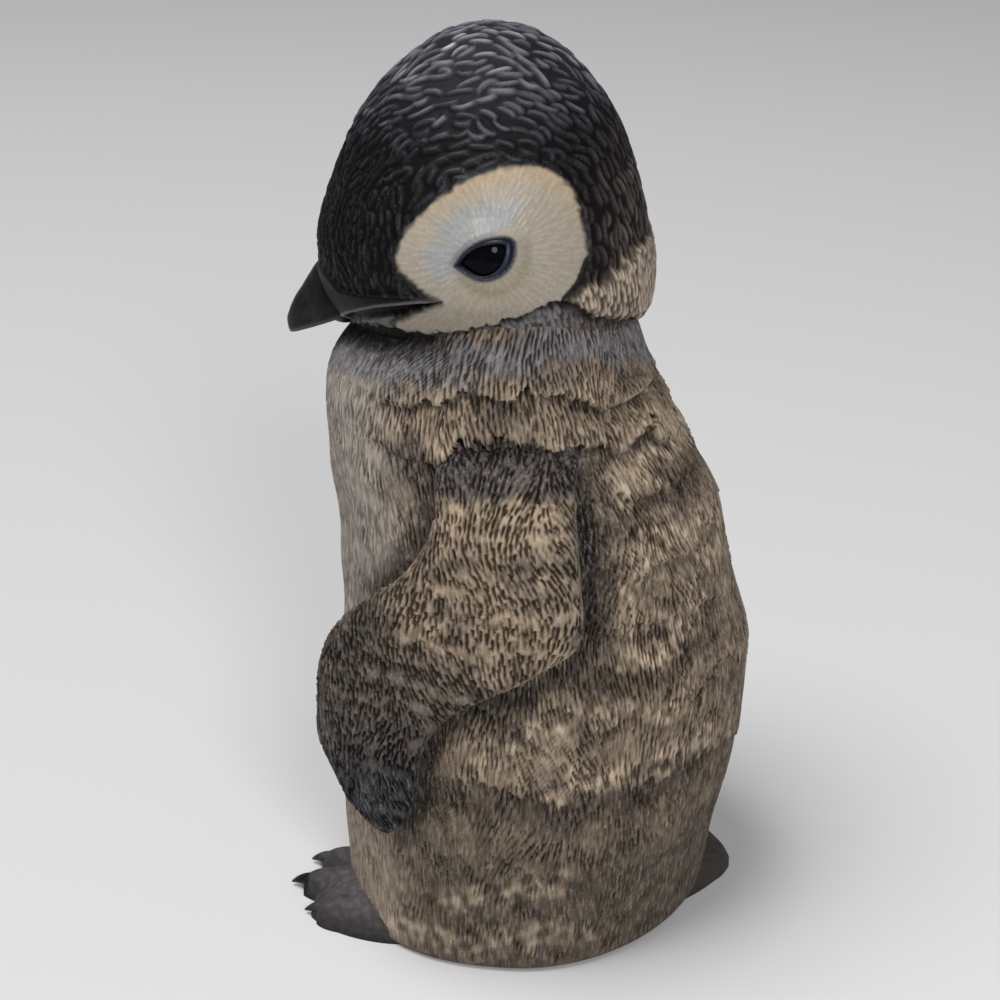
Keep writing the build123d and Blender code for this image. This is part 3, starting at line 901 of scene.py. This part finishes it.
collar_paint = brushed(collar_paint, tone(112, 98, 86), rise(pixels[..., 0], *collar_rear_columns))
# Painted shadow under the chin: the ruff's front is near-black
collar_paint = brushed(collar_paint, tone(26, 26, 30), 1 - rise(pixels[..., 0], *collar_shadow_columns))
# Painted shade in the crease just below the head's edge
collar_paint = brushed(collar_paint, tone(56, 54, 56), (1 - rise(-over_neck, 3.0, 14.0)) * 0.9)
paint = brushed(paint, collar_paint, ruff)
paint = brushed(paint, tone(20, 19, 21), bill_root)
paint = brushed(paint, tone(84, 80, 79), jaw * (0.4 + 0.6 * rise(pixels[..., 0], *jaw_columns)))
# Painted shade: the carved mouth gap is painted near-black
paint = brushed(paint, tone(6, 6, 7), gap)
# Painted shade in the ear crease, which is also carved in
paint = brushed(paint, tone(30, 27, 27), ear_crease_and_shade * 0.8)
paint = brushed(paint, tone(112, 107, 105), ridge_line * 0.7)
lid_highlight = rise(eye_place[..., 1], 0.3, 1.5) * (1 - rise(eye_place[..., 0], 1.0, 3.0))
paint = brushed(paint, tone(40, 44, 56), 1 - rise(opening, 0.0, 0.5))
# Painted highlight along the top of the lid's edge, towards the front
paint = brushed(paint, tone(104, 118, 140), (1 - rise(np.abs(opening - 0.6), 0.1, 0.35)) * lid_highlight * 0.7)

bald = np.clip(bill_root + gap + jaw, 0, 1)
hood, furry, tufted = (1 - mask) * (1 - nape) * (1 - ruff), mask, np.clip(nape + ruff, 0, 1)
carved = 1 - rise(mask_depth, -10, -1)
lift = (hood_groove_depth * hood_ridge - hood_groove_depth) * hood * carved
lift += (0.06 * fur_ridge - 0.02) * furry
lift += (0.34 * tuft_ridge - 0.14) * tufted
lift *= (1 - bald) * rise(opening, 0.3, 1.2)
groove = (1 - hood_ridge) * hood * (0.4 + 0.6 * carved)
groove += 0.16 * (1 - fur_ridge) * furry
groove += 0.8 * (1 - tuft_ridge) * tufted
groove *= 1 - bald
# The groove darkens the bare skin and carries the painted shade of the mouth gap
groove = np.maximum(groove, np.maximum(gap, 0.9 * bill_root * (1 - ridge_line)))
# The painted shadow under the chin is carried in the groove as well
groove = np.maximum(groove, 0.9 * ruff * (1 - rise(pixels[..., 0], *ruff_shadow_columns)))
surface(
    "head_plumage",
    head.points + lift[..., None] * head.normals,
    head_paint,
    np.clip(paint, 0, 1),
    groove,
    ("head",),
)

# Eyes: glossy domes behind a rim that follows the lids' edges
finish = Finish("eye glass")
iris = finish.noise(1.5, 2.0)
eye_glass = finish.done(
    {
        "Base Color": finish.mixed(iris, (0.001, 0.001, 0.001, 1.0), (0.004, 0.004, 0.006, 1.0)),
        "Roughness": 0.05 + iris * 0.03,
        "Specular IOR Level": 0.05,
    }
)
finish = Finish("eye rim")
rubbed = finish.noise(0.8, 3.0)
rim_paint = finish.done(
    {
        "Base Color": finish.mixed(rubbed, (*tone(16, 18, 24), 1.0), (*tone(38, 45, 60), 1.0)),
        "Roughness": 0.32 + rubbed * 0.1,
        "Specular IOR Level": 0.25,
    },
    rubbed,
    0.03,
)

dome_tilt = np.linspace(0.02, pi - 0.02, 40)[:, None]
dome_turn = np.linspace(0, 2 * pi, 72, endpoint=False)[None]
dome = eye_centre + eye_radius * (
    np.cos(dome_tilt)[..., None] * eye_axis
    + (np.sin(dome_tilt) * np.cos(dome_turn))[..., None] * eye_nape
    + (np.sin(dome_tilt) * np.sin(dome_turn))[..., None] * eye_crown
)
bow = np.sqrt(np.clip((eye_radius + lid_rim_standoff) ** 2 - np.sum(lid_line**2, axis=1), 1.0, None))
rim_path = eye_centre + lid_line[:, :1] * eye_nape + lid_line[:, 1:] * eye_crown + bow[:, None] * eye_axis
heading = unit(np.roll(rim_path, -1, axis=0) - np.roll(rim_path, 1, axis=0))
outward = unit(rim_path - eye_centre)
sideways = np.cross(heading, outward)
round_turn = np.linspace(0, 2 * pi, 13)[:, None, None]
rim = rim_path + lid_rim_radius * (
    np.cos(round_turn) * outward + lid_rim_stretch * np.sin(round_turn) * sideways
)

for name, mirror in (("left", 1.0), ("right", -1.0)):
    eye = dome * [mirror, 1, 1]
    surface(f"{name}_eye_dome", eye, eye_glass, replaces=(f"{name}_eye",))
    surface(f"{name}_eye_rim", rim * [mirror, 1, 1], rim_paint, filled=False)

# Bill: two mandibles that meet along the gape line
bill_axis = np.array([0.0, -cos(gape_slope), -sin(gape_slope)])
bill_up = np.array([0.0, -sin(gape_slope), cos(gape_slope)])


def mandible(rows, width, depth, side, steps=70, around=72):
    """A mandible's skin: D-shaped sections from its root to its tip, with a soft lower edge."""
    reach = np.linspace(rows[0][0], rows[-1][0], steps)
    reach = np.append(reach, reach[-1] + 0.001)
    wide, deep = np.moveaxis(through(rows, reach), -1, 0)
    wide[-1], deep[-1] = wide[-2] * 0.2, deep[-2] * 0.2
    turn = np.linspace(0, 2 * pi, around, endpoint=False)[None]
    across = np.cos(turn) * wide[:, None] * width / 2
    upward = np.sin(turn)
    upward = np.where(upward > 0, upward * deep[:, None] * depth, upward * 0.35 * deep[:, None])
    place = gape_corner + (reach * bill_reach)[:, None] * bill_axis
    return place[:, None] + across[..., None] * [1.0, 0.0, 0.0] + side * upward[..., None] * bill_up


finish = Finish("bill gloss")
paint_signal = finish.node("Attribute", {"attribute_name": "paint"}, {}, "Color")
scuff = finish.noise(1.6, 4.0)
scuffed = finish.mixed((scuff * 1.6 - 0.5).clamped() * 0.22, paint_signal, (*tone(78, 76, 80), 1.0))
bill_gloss = finish.done(
    {"Base Color": scuffed, "Roughness": 0.30 + scuff * 0.16, "Specular IOR Level": 0.15},
    finish.noise(0.9, 3.0),
    0.06,
)
upper_bill = mandible(upper_bill_shares, upper_bill_width, upper_bill_depth, 1)
edge = np.abs((upper_bill - gape_corner) @ bill_up)
bill_paint = np.broadcast_to(tone(17, 16, 18), upper_bill.shape)
bill_paint = brushed(bill_paint, tone(96, 92, 92), (1 - rise(edge, 0.1, 0.7)) * 0.7)
surface("upper_mandible", upper_bill, bill_gloss, bill_paint, None, ("upper_bill",))
lower_bill = mandible(lower_bill_shares, lower_bill_width, lower_bill_depth, -1)
bill_paint = np.broadcast_to(tone(20, 19, 21), lower_bill.shape)
surface("lower_mandible", lower_bill, bill_gloss, bill_paint, None, ("lower_bill",))

# Flippers: flat ellipses from the shoulder to a rounded tip
flipper_rows, flipper_columns = (int(count * quick) for count in flipper_grid)
table = np.array(flipper_section_shares)
sizes = np.array([flipper_length, flipper_reach, flipper_standoff])
edges = []
for first in (0, 3):
    drop, place, standoff = (table[:, first : first + 3] * sizes).T
    edges.append(np.stack([standoff, place, flipper_top_height - drop], axis=1))
stations = np.linspace(0, 1, len(table))
share = np.linspace(0, 1, flipper_rows)
lead, trail = (through(np.column_stack([stations, edge]), share) for edge in edges)
thick = through(np.column_stack([stations, table[:, 6]]), share)[:, 0] * flipper_thickness
tip = np.sqrt(np.clip(1 - np.clip((share - 0.955) / 0.046, 0, 1) ** 2, 0.002, 1))
line = (lead + trail) / 2
chord = (trail - lead) / 2 * tip[:, None]
heading = np.gradient(line, axis=0)
face = unit(np.cross(heading, chord))
turn = np.linspace(0, 2 * pi, flipper_columns, endpoint=False)[None]
bulge = np.sign(np.sin(turn)) * np.abs(np.sin(turn)) ** 0.8 * (thick * tip)[:, None]
blade = line[:, None] + np.cos(turn)[..., None] * chord[:, None] + bulge[..., None] / 2 * face[:, None]
blade[..., 0] -= root_sink * rise(blade[..., 2], sink_start_height, sink_end_height)
pixels = seen(blade)
form = Skin(blade, [0.0, 0.0, -1.0])
over = above_line(pixels, shoulder_line) + 2 * swell(blade, 2.4, 51)
step = rise(-over, -2, 2)
relief = 0.3 * swell(blade, 9, 52) + 0.3 * step * np.exp(-np.clip(-over, 0, None) / 25)
flow = np.stack([0 * over, 0.15 + 0.4 * swell(blade, 14, 53), -1 + 0 * over], axis=2)
wing = Skin(blade + relief[..., None] * form.normals * 0.8, flow)
everywhere = np.ones(over.shape, dtype=bool)
wing.stroke(across=0.60, along=1.25, length=2.2, width=0.27, bend=1.1, where=everywhere, seed=54)
patch = swell(blade, 7, 55) + 0.5 * swell(blade, 3, 56)
fleck = swell(blade, 1.6, 57)
low = rise(pixels[..., 1], *wing_low_rows)
paint = np.broadcast_to(tone(104, 93, 83), blade.shape)
warm = 1 - rise(from_line(pixels, flipper_light) + 8 * swell(blade, 5, 58), 15, 70)
paint = brushed(paint, tone(162, 143, 121), warm * 0.9)
paint = brushed(paint, tone(80, 73, 67), rise(patch, 0.4, 1.5) * 0.6)
# The flipper's top is darker: partly its dark slate paint, partly painted shade under the shoulder ledge
top_band_and_shade = rise(wing_top_row - pixels[..., 1] + 6 * swell(blade, 4, 59), 5, 25)
paint = brushed(paint, tone(66, 62, 63), top_band_and_shade * 0.85)
band_edge = np.exp(-((over + 6) ** 2) / 60) * (pixels[..., 0] > wing_band_column)
paint = brushed(paint, tone(160, 141, 117), band_edge * 0.7)
# Painted shade on the flipper's front part, which turns away
fore_edge_shade = 1 - rise(pixels[..., 0], *wing_shade_columns)
paint = brushed(paint, tone(76, 70, 66), fore_edge_shade * 0.6)
paint = brushed(paint, tone(60, 57, 58), low * 0.9)
paint = brushed(paint, tone(48, 49, 54), rise(pixels[..., 1], *wing_tip_rows) * 0.7)
ticks = swell(blade * [0.35, 0.35, 1.0], 2.6, 60)
paint = paint * (0.98 + 0.10 * fleck + 0.16 * ticks)[..., None]
depth = 0.95 + 0.45 * swell(blade, 2.5, 61) - 0.25 * ticks - 0.3 * low
groove = wing.groove * np.clip(depth, 0.1, 1)
blade = wing.points - (flipper_inset + flipper_slit_depth * groove)[..., None] * wing.normals
for name, mirror in (("left", 1.0), ("right", -1.0)):
    surface(
        f"{name}_flipper_plumage",
        blade * [mirror, 1, 1],
        flipper_paint,
        np.clip(paint, 0, 1),
        groove,
        (f"{name}_flipper",),
    )


# Feet and felt, which keep their CAD forms, and the tail
def foot_finish(name, claw_place):
    """Scuted webs that go from dark below to bluish on top as painted light, with black claws in front of the
    given place.
    """
    finish = Finish(name)
    place = finish.node("TexCoord", {}, {}, "Object")
    forward = finish.node("SeparateXYZ", {}, {"Vector": place}, "Y")
    height = finish.node("SeparateXYZ", {}, {"Vector": place}, "Z")
    cells = {"Vector": finish.millimetres(), "Scale": 0.8}
    scute = finish.node("TexVoronoi", {"feature": "F1"}, cells, "Distance")
    grain = finish.noise(1.1, 3.0)
    # Painted light: the webs are lighter towards the top
    lit = (height / (5.0 * METRES) + (grain - 0.5) * 0.9).clamped()
    web = finish.mixed(lit, (*tone(38, 35, 34), 1.0), (*tone(90, 86, 88), 1.0))
    worn = finish.mixed((scute * 0.7).clamped(), web, (*tone(40, 37, 36), 1.0))
    claw = ((claw_place * METRES - forward) / (0.5 * METRES)).clamped()
    sockets = {
        "Base Color": finish.mixed(claw, worn, (*tone(16, 15, 15), 1.0)),
        "Roughness": 0.6 + grain * 0.15 - claw * 0.25,
        "Specular IOR Level": 0.2,
    }
    return finish.done(sockets, (1 - scute) + grain * 0.4, 0.25)


finish = Finish("tail paint")
vane = finish.noise(1.1, 3.0, (1.0, 0.18, 0.4))
tail_paint = finish.done(
    {
        "Base Color": finish.mixed(vane, (*tone(26, 23, 21), 1.0), (*tone(70, 61, 54), 1.0)),
        "Roughness": 0.6 + vane * 0.1,
    },
    vane,
    0.4,
)
finish = Finish("felt")
nap = finish.noise(0.5, 4.0)
felt = finish.done(
    {
        "Base Color": finish.mixed(nap, (*tone(26, 26, 27), 1.0), (*tone(52, 51, 52), 1.0)),
        "Roughness": 0.95,
    },
    nap,
    0.3,
)
for name, material in (
    ("left_foot", foot_finish("left foot paint", left_claw_place)),
    ("right_foot", foot_finish("right foot paint", left_claw_place + right_foot_setback)),
    ("felt_pad", felt),
):
    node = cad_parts[name]
    node.data.materials.clear()
    node.data.materials.append(material)

place = np.linspace(tail_sections[0][0], tail_sections[-1][0], tail_grid[0])
top, wide = np.moveaxis(through(tail_sections, place), -1, 0)
turn = np.linspace(0, 2 * pi, tail_grid[1], endpoint=False)[None]
ribs = 1 - 0.05 * np.abs(np.sin(9 * turn))
tail = np.stack(
    [
        np.cos(turn) * wide[:, None] * ribs,
        place[:, None] + 0 * turn,
        tail_floor + np.clip(np.sin(turn), 0, 1) ** 0.8 * (top[:, None] - tail_floor) * ribs,
    ],
    axis=2,
)
surface("tail_wedge", tail, tail_paint, replaces=("tail",))

# Floor, light and camera
finish = Finish("backdrop")
backdrop = finish.done(
    {"Base Color": (*tone(213, 212, 212), 1.0), "Roughness": 0.9, "Specular IOR Level": 0.1}
)
floor_mesh = bpy.data.meshes.new("floor")
floor_corners = [
    (x * floor_half_span, y * floor_half_span, 0) for x, y in ((-1, -1), (1, -1), (1, 1), (-1, 1))
]
floor_mesh.from_pydata(floor_corners, [], [(0, 1, 2, 3)])
floor_mesh.materials.append(backdrop)
floor = bpy.data.objects.new("floor", floor_mesh)
bpy.context.collection.objects.link(floor)
floor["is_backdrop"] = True

world = bpy.data.worlds.new("studio")
world.use_nodes = True
world.node_tree.nodes["Background"].inputs["Color"].default_value = (0.95, 0.96, 1.0, 1.0)
world.node_tree.nodes["Background"].inputs["Strength"].default_value = world_strength
bpy.context.scene.world = world


def soft_light(name, place, size, watts):
    """A round lamp that faces the bird."""
    lamp = bpy.data.lights.new(name, "AREA")
    lamp.shape, lamp.size, lamp.energy = "DISK", size, watts
    holder = bpy.data.objects.new(name, lamp)
    holder.location = place
    aim = Vector((0, 0, aim_height)) - holder.location
    holder.rotation_euler = aim.to_track_quat("-Z", "Y").to_euler()
    bpy.context.collection.objects.link(holder)


for lamp_settings in lamps:
    soft_light(*lamp_settings)

camera = bpy.data.cameras.new("camera")
camera.sensor_width = sensor_width
camera.lens = focal_pixels / frame_pixels * sensor_width
camera.shift_x = 0.5 - target_pixel[0] / frame_pixels
viewer = bpy.data.objects.new("camera", camera)
viewer.location = camera_place * METRES
viewer.rotation_euler = Vector(-towards_camera).to_track_quat("-Z", "Y").to_euler()
bpy.context.collection.objects.link(viewer)
scene = bpy.context.scene
scene.camera = viewer
scene.view_settings.view_transform = "Standard"

sizes = {"cad": cad_bounds, "visual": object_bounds()}
